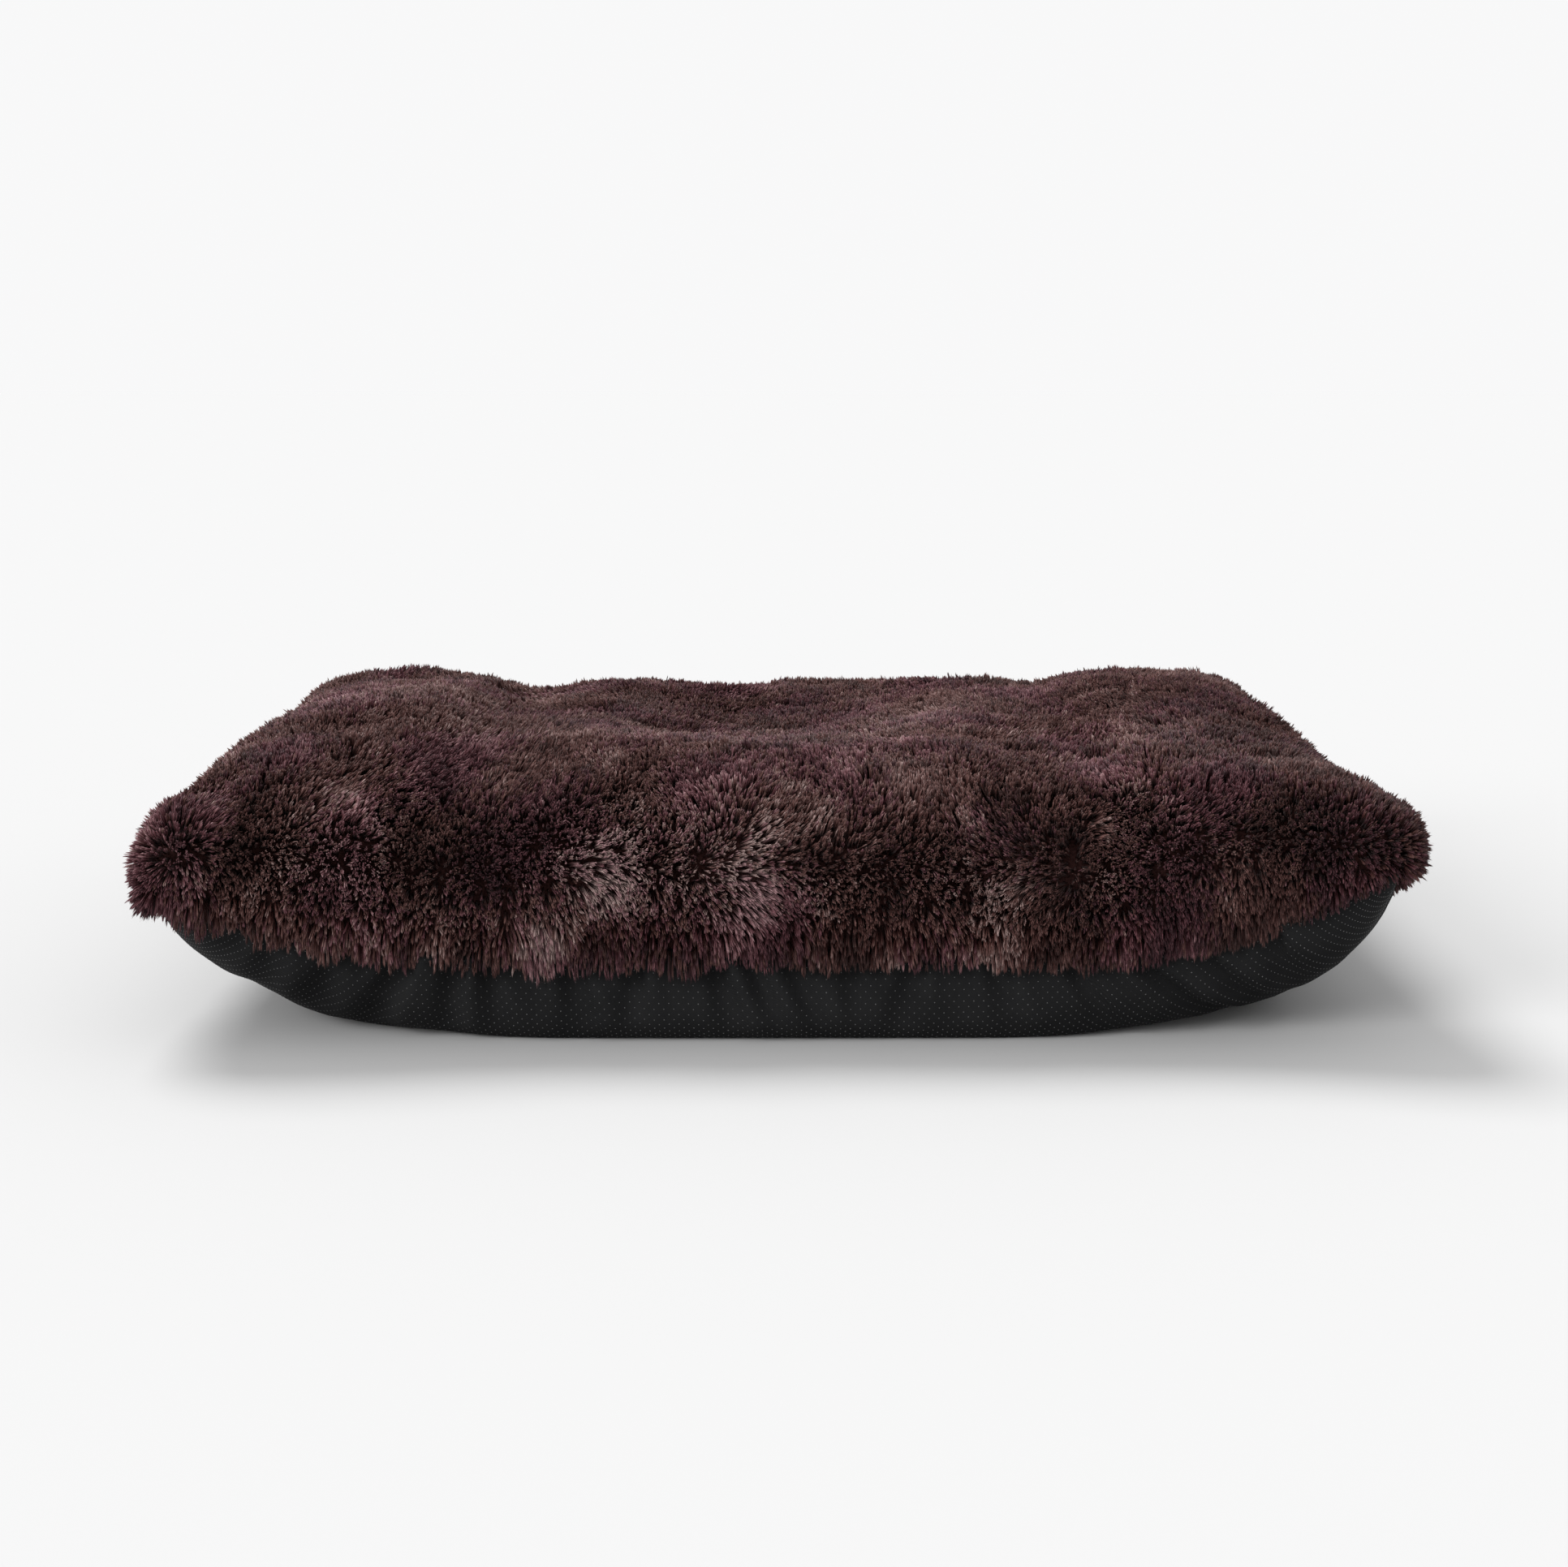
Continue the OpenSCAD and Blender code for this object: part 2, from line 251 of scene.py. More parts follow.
def add(tree, kind, inputs=None, **settings):
    """A new node, with its inputs linked or set."""
    node = tree.nodes.new(kind)
    for key, value in settings.items():
        setattr(node, key, value)
    for key, value in (inputs or {}).items():
        if isinstance(value, bpy.types.NodeSocket):
            tree.links.new(value, node.inputs[key])
        else:
            node.inputs[key].default_value = value
    return node


def ramp(tree, factor, stops):
    """A colour ramp with (place, colour) stops, fed by factor."""
    node = add(tree, "ShaderNodeValToRGB", {"Fac": factor})
    while len(node.color_ramp.elements) < len(stops):
        node.color_ramp.elements.new(0.5)
    for element, (place, colour) in zip(node.color_ramp.elements, stops):
        element.position = place
        element.color = (*colour, 1)
    return node.outputs["Color"]


def pile_material():
    """Dyed acrylic pile, with painted light and shade. In the tufts' map, u is a tuft's tone,
    painted sheen and shade included, with brown dye below a half and plum above it, and v runs from
    root to tip, along which the colour is darkened towards the root as painted shade and lifted
    past white at the tip as painted highlight."""
    material, tree, shader = new_material(
        "pile", 0.5, Sheen_Weight=0.06, Sheen_Roughness=0.4, Sheen_Tint=(1.0, 0.8, 0.78, 1),
        Specular_IOR_Level=0.2)
    place = add(tree, "ShaderNodeUVMap", uv_map="OFBake").outputs["UV"]
    split = add(tree, "ShaderNodeSeparateXYZ", {"Vector": place})
    brown = [(0.0, (0.022, 0.0080, 0.0070)), (0.16, (0.070, 0.0285, 0.0250)),
             (0.30, (0.125, 0.060, 0.053)), (0.495, (0.340, 0.245, 0.230))]
    plum = [(0.505, (0.022, 0.0065, 0.0095)), (0.66, (0.076, 0.0265, 0.0330)),
            (0.80, (0.132, 0.053, 0.062)), (1.0, (0.340, 0.205, 0.212))]
    tone = ramp(tree, split.outputs["X"], brown + plum)
    # Painted shade towards the root of each strand, and a painted highlight at its tip
    shade = ramp(tree, split.outputs["Y"], [
        (0.0, (0.40, 0.18, 0.16)), (0.4, (0.60, 0.36, 0.34)), (0.72, (0.80, 0.66, 0.64)),
        (0.93, (1.0, 1.0, 1.0)), (1.0, (1.3, 1.3, 1.3))])
    colour = add(tree, "ShaderNodeMix", data_type="RGBA", blend_type="MULTIPLY")
    colour.inputs["Factor"].default_value = 1
    tree.links.new(tone, colour.inputs["A"])
    tree.links.new(shade, colour.inputs["B"])
    tree.links.new(colour.outputs["Result"], shader.inputs["Base Color"])
    return material


# The wave texture repeats after this length at a scale of 1
WAVE_PERIOD = 0.32


def cloth_material(name, dark, light, thread, roughness=0.85, bump=0.15, mottle=0.06, **sockets):
    """Plain-weave cloth: crossed threads of a given width, with soft uneven dye."""
    material, tree, shader = new_material(name, roughness, **sockets)
    place = add(tree, "ShaderNodeTexCoord").outputs["Object"]
    noise = add(tree, "ShaderNodeTexNoise",
                {"Vector": place, "Scale": 1 / mottle, "Detail": 6.0, "Roughness": 0.65})
    threads = {"Vector": place, "Scale": WAVE_PERIOD / thread, "Distortion": 0.4}
    weft = add(tree, "ShaderNodeTexWave", threads, bands_direction="X")
    warp = add(tree, "ShaderNodeTexWave", threads, bands_direction="DIAGONAL")
    weave = add(tree, "ShaderNodeMath", {0: weft.outputs["Fac"], 1: warp.outputs["Fac"]},
                operation="MULTIPLY")
    blend = add(tree, "ShaderNodeMath", {0: weave.outputs[0], 1: 0.5}, operation="MULTIPLY")
    total = add(tree, "ShaderNodeMath", {0: blend.outputs[0], 1: noise.outputs["Fac"]},
                operation="ADD")
    colour = ramp(tree, total.outputs[0], [(0.3, dark), (1.0, light)])
    tree.links.new(colour, shader.inputs["Base Color"])
    relief = add(tree, "ShaderNodeBump",
                 {"Height": weave.outputs[0], "Strength": bump, "Distance": thread * 0.5})
    tree.links.new(relief.outputs["Normal"], shader.inputs["Normal"])
    return material


def speckled_material(name, dark, light, scale, roughness, bump=0.1, **sockets):
    """Moulded, plated or fibrous stuff: a fine speckle in colour, roughness and relief."""
    material, tree, shader = new_material(name, roughness, **sockets)
    place = add(tree, "ShaderNodeTexCoord").outputs["Object"]
    noise = add(tree, "ShaderNodeTexNoise",
                {"Vector": place, "Scale": 1 / scale, "Detail": 8.0, "Roughness": 0.6})
    colour = ramp(tree, noise.outputs["Fac"], [(0.35, dark), (0.65, light)])
    tree.links.new(colour, shader.inputs["Base Color"])
    rough = add(tree, "ShaderNodeMapRange",
                {"Value": noise.outputs["Fac"], "To Min": roughness * 0.8,
                 "To Max": min(1.0, roughness * 1.25)})
    tree.links.new(rough.outputs[0], shader.inputs["Roughness"])
    relief = add(tree, "ShaderNodeBump",
                 {"Height": noise.outputs["Fac"], "Strength": bump, "Distance": scale * 0.3})
    tree.links.new(relief.outputs["Normal"], shader.inputs["Normal"])
    return material


PILE = pile_material()
# The undercoat's colour is darker than the pile's own, partly painted shade at the foot of the pile
UNDERWOOL_AND_SHADE = speckled_material("undercoat", (0.016, 0.0066, 0.0060), (0.044, 0.018, 0.0165), 0.0022,
                              0.95, 0.6, Specular_IOR_Level=0.03)
BACKING = speckled_material("backing", (0.006, 0.0024, 0.0024), (0.012, 0.005, 0.005), 0.002, 0.95,
                            Specular_IOR_Level=0.05)
BASE_CLOTH = cloth_material("base_cloth", (0.0063, 0.0063, 0.0067), (0.0155, 0.0155, 0.016), 0.0009,
                            0.85, Specular_IOR_Level=0.08)
GRIP = speckled_material("grip_dots", (0.075, 0.075, 0.075), (0.12, 0.12, 0.12), 0.004, 0.55)
TAPE = cloth_material("zip_tape", (0.008, 0.008, 0.008), (0.02, 0.02, 0.02), 0.0005, 0.8)
COIL = speckled_material("zip_coil", (0.012, 0.012, 0.012), (0.022, 0.022, 0.022), 0.002, 0.35)
METAL = speckled_material("zip_metal", (0.50, 0.49, 0.47), (0.60, 0.59, 0.57), 0.0015, 0.28, 0.03,
                          Metallic=1.0)
LABEL = cloth_material("label", (0.70, 0.69, 0.65), (0.82, 0.81, 0.77), 0.0004, 0.45)
LINER = cloth_material("liner", (0.55, 0.52, 0.45), (0.72, 0.69, 0.61), 0.0008, 0.9)
FIBRE = speckled_material("fibre", (0.78, 0.78, 0.76), (0.92, 0.92, 0.91), 0.006, 0.95, 0.4)

# ---- The cover's surfaces, from the frame ----

crown = sheet_grid("fur_backing", up=True)
base = sheet_grid("base_panel", up=False)
pile_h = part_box("fur_pile")[1][2] - crown[..., 2].max()
slider_low, slider_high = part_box("zip_slider")
slot_mid = (slider_low[2] + slider_high[2]) / 2
zip_low, zip_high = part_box("zip_tape_upper")

# ---- Pile ----

TUFT_PITCH = 3.2 * MM
TUFT_STRANDS = 4
TUFT_LENGTH = 1.16 * pile_h
# How far a tuft's strands start from its middle, in pitches, and how much they close at the tip
TUFT_SPREAD = 0.27
TUFT_CLOSING = 0.38
STRAND_RADIUS = 0.64 * MM
GUARD_RADIUS = 0.22 * MM
# The lattice of the tufts is this share of the pitch, measured this far up the tufts. In cells,
# tufts are shaken by up to SHAKE each way, and every second row is staggered by STAGGER.
LATTICE = 0.96
LATTICE_LEVEL = 0.7
SHAKE = 0.36
STAGGER = 0.25
# How far in from the edge the strands have a second ring, so that they bend, how far in the pile
# is cut shorter, and how far in the patches in TRIMMED are
FRINGE = 30 * MM
EDGE_CUT = 22 * MM
EDGE_TRIM = 34 * MM
# The undercoat's height, as a share of the tufts', and its cells
UNDERCOAT = 0.17
UNDERCOAT_STEP = 7 * MM
# Half the height that stays free for the slider, and how far past the zip's ends that fades
ZIP_CLEAR = 6.4 * MM
ZIP_FADE = 45 * MM
# Pieces of the pile along X, and along Y
FUR_TILES = (6, 4)
# The tables below are in millimetres.
# Patches that have been brushed flat: centre x, y, z, then which way they lie, reach and strength
BRUSHED = [
    ((-218, -399, 110), (0.45, 0, -0.9), 28, 1.1), ((-166, -395, 160), (0.9, 0, -0.45), 36, 1.1),
    ((-21, -397, 146), (1, 0, -0.15), 44, 1.1), ((202, -372, 189), (-1, 0, 0.1), 46, 0.9),
    ((240, -393, 155), (-1, 0, -0.4), 34, 1.0), ((-235, -300, 215), (1, 0.15, 0), 85, 1.0),
    ((-230, -120, 220), (1, 0.5, 0), 110, 0.9), ((-380, 60, 245), (0.1, -1, 0), 120, 0.8),
    ((430, 40, 240), (-0.6, -0.8, 0), 150, 0.9), ((230, 100, 220), (-1, -0.3, 0), 100, 0.7),
    ((60, -330, 205), (-0.5, -0.8, 0), 60, 0.6), ((430, -390, 130), (0.1, 0, -1), 75, 0.8),
]
# Lighter and darker patches of the pile, which paint light and shade into its tone: painted sheen
# where the pile lies brushed flat, painted light on the front, painted shade on the right side,
# away from the light, and darker spots at the front: centre x, y, z, then reach and change of tone
PAINTED_SHEEN_AND_SHADE = [
    ((-364, -8, 254), 75, 0.16), ((-315, -214, 240), 55, 0.22), ((-261, -329, 212), 40, 0.20),
    ((-126, -362, 199), 45, 0.12), ((-78, -372, 190), 40, 0.12), ((-13, -369, 193), 42, 0.14),
    ((-176, -394, 170), 32, 0.50), ((-150, -395, 156), 34, 0.48), ((-27, -396, 146), 40, 0.40),
    ((-316, -400, 98), 20, 0.26), ((-217, -400, 108), 28, 0.50), ((-415, -183, 258), 60, 0.10),
    ((278, -151, 227), 80, 0.12), ((368, -294, 229), 70, -0.02), ((335, -327, 213), 34, 0.10),
    ((205, -395, 150), 34, 0.36), ((298, -395, 150), 24, 0.30), ((430, 80, 235), 110, 0.02),
    ((-482, -404, 189), 24, -0.22), ((-404, -406, 134), 26, -0.20), ((-258, -391, 160), 26, -0.20),
    ((16, -391, 163), 30, -0.22), ((-1, -399, 108), 22, -0.20), ((400, -395, 150), 90, -0.08),
    ((520, -400, 190), 80, -0.08), ((310, -398, 120), 50, -0.10), ((500, -150, 240), 120, -0.10),
    ((-466, -360, 221), 40, -0.08), ((90, -385, 150), 40, -0.08), ((0, -398, 145), 190, 0.10),
    ((-420, -404, 130), 90, 0.28), ((430, -250, 230), 140, -0.05), ((-545, -405, 190), 45, 0.10),
]
# Where the pile is cut shorter at the edge: centre x, y, z, then reach and share cut off
TRIMMED = [((520, -400, 150), 120, 0.45)]
# Partings in the front, whose tufts get painted shade: x, z, half width, half height, depth of the
# fold
PARTED = [(-248, 125, 12, 34, 0.9), (270, 152, 10, 42, 0.4), (95, 120, 12, 26, 0.4)]
# Corners from which the pile radiates
WHORLS = [((-550, -409, 190), 42, 0.5), ((520, -400, 170), 40, 0.2)]


def plant_tufts():
    """Roots and normals of the tufts, in a shaken, staggered lattice over the crown. The
    lattice is thinned where its cells are tighter than the pitch."""
    rng = np.random.default_rng(11)
    skin = even_grid(crown, TUFT_PITCH * LATTICE, TUFT_LENGTH * LATTICE_LEVEL)
    up = normals(skin)
    tips = skin + up * TUFT_LENGTH * LATTICE_LEVEL
    n, m = skin.shape[0] - 1, skin.shape[1] - 1
    i, j = (a.ravel() for a in np.meshgrid(np.arange(n), np.arange(m), indexing="ij"))
    s = i + 0.5 + rng.uniform(-SHAKE, SHAKE, i.size) + STAGGER * (-1) ** j
    t = j + 0.5 + rng.uniform(-SHAKE, SHAKE, i.size)
    s, t = np.clip(s, 0.02, n - 0.02), np.clip(t, 0.02, m - 0.02)
    cell = np.cross(tips[i + 1, j] - tips[i, j], tips[i, j + 1] - tips[i, j])
    area = np.linalg.norm(cell, axis=1)
    kept = rng.uniform(size=i.size) < area / (TUFT_PITCH * LATTICE) ** 2
    s, t = s[kept], t[kept]
    edge = np.minimum(np.minimum(s, n - s), np.minimum(t, m - t)) * TUFT_PITCH
    return bilinear(skin, s, t), unit(bilinear(up, s, t)), edge, s / n, t / m


def comb_tufts(rng, roots, up, edge, patch, rake):
    """Each tuft's direction and bend, how flat it lies, and how far it is in a parting or a
    cleft, from 0 to 1. Patch and rake are the broad and the fine unevenness of the pile."""
    count = len(roots)
    broad = np.stack([waves(roots, 0.33, 20 + k)[0] for k in range(3)], 1)
    local = np.stack([waves(roots, 0.11, 30 + k)[0] for k in range(3)], 1)
    _, gather = waves(roots, 0.017, 42)
    _, cluster = waves(roots, 0.046, 43)
    steep = 1 - np.clip(up[:, 2], 0, 1)
    lay = np.clip(0.30 + 0.18 * patch + 0.08 * rake, 0.06, 0.65) * (1 - 0.9 * smooth(steep * 1.4))
    comb = (0.9 * broad + 0.5 * local) * lay[:, None]
    # Tufts lean away from scattered clefts, which show the dark foot of the pile
    cleft, slope = waves(roots, 0.034, 48)
    cleft = smooth((-cleft - 0.75) / 0.9)
    comb += 0.0013 * cleft[:, None] * slope
    brushed = np.zeros(count)
    for centre, way, reach, strength in BRUSHED:
        near = nearness(roots, centre, reach)
        lie = 0.50 * near[:, None] * strength * unit(np.array(way, float))
        comb = comb * (1 - 0.7 * near[:, None]) + lie
        brushed = np.maximum(brushed, near * strength)
    parted = np.zeros(count)
    for x, z, width, height, depth in PARTED:
        across = (roots[:, 0] - x * MM) / (width * MM)
        above = (roots[:, 2] - z * MM) / (height * MM)
        near = np.exp(-across**2 - above**2) * (roots[:, 1] < 0)
        comb[:, 0] += 0.38 * depth * near * np.tanh(across * 4)
        parted = np.maximum(parted, depth * near * np.exp(-(across * 3) ** 2))
    for centre, reach, strength in WHORLS:
        away = roots - np.array(centre) * MM
        near = nearness(roots, centre, reach)
        comb += near[:, None] * strength * away / (0.5 * reach * MM)
    comb += 0.00030 * gather + 0.0005 * cluster
    comb += rng.normal(0, 0.12, (count, 3))
    hang = 0.2 + 1.3 * np.exp(-((edge / 0.014) ** 2))
    comb[:, 2] -= hang * steep
    comb -= (comb * up).sum(1, keepdims=True) * up
    brushed = np.clip(brushed, 0, 1)
    aim = unit(up * (1.0 - 0.25 * brushed)[:, None] + comb)
    bend = 0.35 * comb + np.array([0, 0, -0.08]) + rng.normal(0, 0.08, (count, 3))
    bend[:, 2] -= 0.4 * steep * np.exp(-edge / 0.03)
    return aim, bend, brushed, parted, cleft


def dye_and_shade_tufts(rng, roots, edge, patch, rake, parted, cleft):
    """Each tuft's tone, from 0 to 1, with painted sheen and shade worked into it, and whether its
    dye is plum.
    """
    hue, _ = waves(roots, 0.13, 44)
    speck, _ = waves(roots, 0.03, 45)
    # Tufts in partings and clefts are darkened as painted shade
    tone = 0.35 + 0.06 * patch + 0.07 * rake + 0.07 * speck - 0.4 * parted - 0.14 * cleft
    tone += rng.normal(0, 0.14, len(roots))
    # Lighter and darker patches: painted sheen, painted light on the front and painted shade on the
    # right side
    for centre, reach, shift in PAINTED_SHEEN_AND_SHADE:
        tone += 1.25 * shift * nearness(roots, centre, reach)
    # The fringe is made darker, to offset the painted tip highlight that hanging strands show along
    # their length
    tone += (0.10 * rake - 0.10) * np.exp(-((edge / 0.016) ** 2))
    plum = hue + rng.normal(0, 0.8, len(roots))
    return np.clip(tone, 0.02, 0.98), plum > 0.4


def cut_tufts(roots, edge):
    """Each tuft's length, which is uneven all over and shorter at the edge."""
    rng = np.random.default_rng(13)
    ragged, _ = waves(roots, 0.03, 46)
    swell, _ = waves(roots, 0.08, 47)
    length = TUFT_LENGTH * rng.uniform(0.94, 1.06, len(roots)) * (1 + 0.04 * ragged + 0.06 * swell)
    length *= 1 - (0.30 - 0.06 * ragged) * (1 - smooth(edge / EDGE_CUT))
    for centre, reach, cut in TRIMMED:
        length *= 1 - cut * nearness(roots, centre, reach) * (1 - smooth(edge / EDGE_TRIM))
    return length


def strands(rng, k, thick, rings, widths, roots, aim, bend, length, tone, plum, flat):
    """Closed three-sided strands, one in the middle of each blunt tuft and the rest round it:
    their points, faces and map, whose v sets the painted shade and highlight along a strand. Rings
    are places along a strand, and widths its radius there."""
    count = len(roots) * k
    around = np.tile(np.arange(k) * 2 * math.pi / (k - 1), len(roots))
    around = around + np.repeat(rng.uniform(0, 6.3, len(roots)), k)
    core = np.tile(np.arange(k) == k - 1, len(roots))
    roots, aim, bend, length, tone, plum, flat = (
        np.repeat(a, k, 0) for a in (roots, aim, bend, length, tone, plum, flat))
    side = unit(np.cross(aim, [0.13, 0.22, 0.97]))
    other = np.cross(aim, side)
    out = spokes(side, other, around)
    out *= (TUFT_PITCH * np.where(core, 0, TUFT_SPREAD) * rng.uniform(0.7, 1.2, count))[:, None]
    length = length * rng.uniform(0.94, 1.0, count) * np.where(core, 1.03, 1.0)
    turn = rng.uniform(0, 6.3, count)
    radius = thick * rng.uniform(0.8, 1.2, count) * (1 - 0.3 * flat)
    wander = rng.normal(0, 0.03, (count, 3))

    def along(t):
        reach = t * aim + t * t * (wander + 0.5 * bend)
        return roots + length[:, None] * reach + out * (1 - TUFT_CLOSING * t)

    points = [along(0.0)]
    for t, width in zip(rings, widths):
        for corner in range(3):
            spoke = spokes(side, other, turn + corner * 2 * math.pi / 3)
            points.append(along(t) + (radius * width)[:, None] * spoke)
    points.append(along(1.0))
    size = len(points)
    quads = [[r + c, r + (c + 1) % 3, r + 3 + (c + 1) % 3, r + 3 + c]
             for r in range(1, size - 4, 3) for c in range(3)]
    tris = [[1 + (c + 1) % 3, 1 + c, 0] for c in range(3)]
    tris += [[size - 4 + c, size - 4 + (c + 1) % 3, size - 1] for c in range(3)]
    first = np.arange(count)[:, None, None] * size
    faces = [(first + np.array(f)).reshape(-1, corners) if f else None
             for f, corners in ((quads, 4), (tris, 3))]
    rise = np.array([0.0, *np.repeat(rings, 3), 1.0])
    shade = 0.5 * plum + 0.02 + 0.46 * np.clip(tone + rng.normal(0, 0.08, count), 0, 1)
    # How deep each point lies in the pile sets its painted shade; tufts brushed flat show their
    # sides, so they get less of it
    depth = (1 - rise) * (1 - 0.8 * flat[:, None])
    place = np.stack([np.repeat(shade[:, None], size, 1), 0.98 - 0.96 * depth], 2)
    return np.stack(points, 1).reshape(-1, 3), faces, place.reshape(-1, 2)


def make_tile(name, seed, edge, roots, aim, bend, length, tone, plum, flat):
    """One piece of the pile: bent strands along the fringe, straighter ones elsewhere, and fine
    guard hairs, which are thickest where the pile is brushed flat or hangs over the edge."""
    rng = np.random.default_rng(seed)
    points, quads, tris, place = [], [], [], []
    start = 0
    fringe = edge < FRINGE
    guard = rng.uniform(size=len(roots)) < 0.09 + 0.5 * flat + 0.35 * np.exp(-((edge / 0.015) ** 2))
    tufts = (roots, aim, bend, length, tone, plum, flat)
    stray = unit(aim + rng.normal(0, 0.06, aim.shape))
    long_tufts = (roots, stray, bend, length * 1.07, tone + 0.14, plum, flat)
    for chosen, k, thick, rings, widths, of in (
            (fringe, TUFT_STRANDS, STRAND_RADIUS * 0.9, (0.45, 0.9), (0.75, 1.0), tufts),
            (~fringe, TUFT_STRANDS, STRAND_RADIUS, (0.92,), (1.0,), tufts),
            (guard, 2, GUARD_RADIUS, (0.5,), (1.0,), long_tufts)):
        picked = (a[chosen] for a in of)
        some, faces, where = strands(rng, k, thick, rings, widths, *picked)
        if faces[0] is not None:
            quads.append(faces[0] + start)
        tris.append(faces[1] + start)
        points.append(some)
        place.append(where)
        start += len(some)
    faces = [np.concatenate(f) for f in (quads, tris) if f]
    piece = make_piece(name, np.concatenate(points), faces, PILE)
    corners = np.concatenate([f.ravel() for f in faces])
    layer = piece.data.uv_layers.new(name="OFBake")
    layer.data.foreach_set("uv", np.concatenate(place)[corners].astype(np.float32).ravel())
    return piece


def clear_zip(roots, aim, bend, length):
    """Trims the pile along the zip and combs it up, so that slider and pull run free."""
    by_zip = 1 - smooth((np.abs(roots[:, 0]) - zip_high[0] - 24 * MM) / ZIP_FADE)
    by_zip *= roots[:, 1] > zip_low[1] - 25 * MM
    above = (roots[:, 2] - slot_mid) / (45 * MM)
    length = length * (1 - by_zip * 0.5 * (1 - smooth(above)))
    low = (by_zip > 0) & (above < 1)
    least = (slot_mid + ZIP_CLEAR + 1.5 * MM - roots[:, 2]) / length
    aim, bend = aim.copy(), bend.copy()
    for way, floor in ((aim, least), (bend, np.zeros(len(roots)))):
        raised = np.maximum(way[:, 2], floor)
        way[low, 2] += (by_zip * (raised - way[:, 2]))[low]
    return length, aim, bend


def make_pile():
    """The whole pile, in pieces of about as many tufts each."""
    roots, up, edge, s, t = plant_tufts()
    patch, rake = waves(roots, 0.16, 40)[0], waves(roots, 0.05, 41)[0]
    rng = np.random.default_rng(12)
    aim, bend, flat, parted, cleft = comb_tufts(rng, roots, up, edge, patch, rake)
    tone, plum = dye_and_shade_tufts(rng, roots, edge, patch, rake, parted, cleft)
    length = cut_tufts(roots, edge)
    roots = roots - up * 0.6 * MM
    length, aim, bend = clear_zip(roots, aim, bend, length)
    tufts = (edge, roots, aim, bend, length, tone, plum, flat)
    columns = np.array_split(np.argsort(s, kind="stable"), FUR_TILES[0])
    number = 0
    for column in columns:
        for tile in np.array_split(column[np.argsort(t[column], kind="stable")], FUR_TILES[1]):
            number += 1
            piece = make_tile(f"fur_pile_{number:02d}", 100 + number, *(a[tile] for a in tufts))
            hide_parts("fur_pile")


def make_undercoat():
    """The short dense wool at the foot of the tufts, which closes the gaps between them. Its dark
    colour is partly painted shade at the foot of the pile.
    """
    skin = even_grid(crown, UNDERCOAT_STEP)
    up = normals(skin)
    n, m = skin.shape[:2]
    i, j = np.meshgrid(np.arange(n), np.arange(m), indexing="ij")
    edge = np.minimum(np.minimum(i, n - 1 - i), np.minimum(j, m - 1 - j)) * UNDERCOAT_STEP
    flat = skin.reshape(-1, 3)
    uneven = (waves(flat, 0.02, 50)[0] + 0.7 * waves(flat, 0.05, 51)[0]).reshape(n, m)
    height = UNDERCOAT * TUFT_LENGTH * (1 + 0.10 * uneven) * smooth((edge - 4 * MM) / 0.03)
    top = skin + up * (height[..., None] + 0.2 * MM)
    piece = closed_shell("fur_undercoat", top, skin + up * 0.1 * MM, UNDERWOOL_AND_SHADE)
    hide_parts("fur_pile")


def make_backing():
    """The knitted cloth that the pile stands on."""
    skin = even_grid(crown, 9 * MM)
    piece = closed_shell("fur_backing_knit", skin, skin - normals(skin) * 2 * MM, BACKING)
    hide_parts("fur_backing")


make_pile()
make_undercoat()
make_backing()

# ---- Base cloth ----

BASE_STEP = 4.9 * MM
# Rows of dots are a pitch apart, and the dots in a row are two
DOT_PITCH = 4.5 * MM
DOT_RADIUS = 0.75 * MM
DOT_HEIGHT = 0.4 * MM
DOT_SIDES = 5
DOT_TILES = 3
# Folds pulled from the seam into the front of the base, in millimetres but for the lean:
# x at the seam, lean, half width, depth, run
FRONT_CREASES = [
    (-452, -0.3, 9, 2.6, 46), (-398, -0.4, 8, 2.4, 40), (-338, -0.45, 9, 4.2, 52),
    (-296, -0.1, 8, 4.0, 48), (-268, 0.15, 6, 2.2, 34), (-193, 0.2, 9, 3.6, 46),
    (-128, -0.1, 7, 2.2, 36), (-62, 0.3, 8, 3.0, 44), (-30, 0.45, 7, 2.6, 40),
    (4, 0.5, 8, 2.6, 44), (66, 0.1, 7, 2.0, 38), (128, -0.2, 8, 2.4, 40),
    (196, 0.3, 8, 2.2, 42), (262, 0.6, 8, 2.8, 46), (318, 0.9, 8, 3.6, 56),
    (372, 0.8, 7, 2.6, 48), (440, 0.5, 8, 2.6, 40),
]
# Every fold's depth and run are these times what its row says
FOLD_GAIN = 2.9
FOLD_REACH = 1.9
# The liner holds the cloth out, so a fold goes in no deeper than the room over it
FOLD_ROOM = 5.5 * MM
# The filling pushes the foot of the long sides out by this much, and two front corners up
BULGE = 20 * MM
LIFT = 11 * MM
# Those corners, in metres: centre x and y, reach along x and y, share of the lift
LIFTED = [(-0.505, -0.345, 0.07, 0.07, 1.0), (0.44, -0.335, 0.08, 0.06, 0.8)]


def crease_relief(along, down, creases):
    """Height of the folds at places along the seam and down the cloth from it, in metres."""
    relief = np.zeros(along.shape)
    for at, lean, width, depth, run in creases:
        u = (along - at * MM - lean * down) / (width * MM * (1 + 0.5 * down / (run * MM)))
        fade = np.exp(-((down / (FOLD_REACH * run * MM)) ** 2)) * smooth(down / (6 * MM) + 0.35)
        profile = np.exp(-((u - 1.5) ** 2)) - np.exp(-u * u) + 0.6 * np.exp(-((u + 1.6) ** 2))
        relief += FOLD_GAIN * depth * MM * fade * profile
    return relief


def random_creases(seed, half):
    """Irregular folds between -half and half millimetres along one side."""
    rng = np.random.default_rng(seed)
    places = np.arange(-half, half, 74.0)
    return [(at + rng.uniform(-22, 22), rng.uniform(-0.5, 0.5), rng.uniform(6, 10),
             rng.uniform(1.6, 3.8), rng.uniform(34, 56)) for at in places]


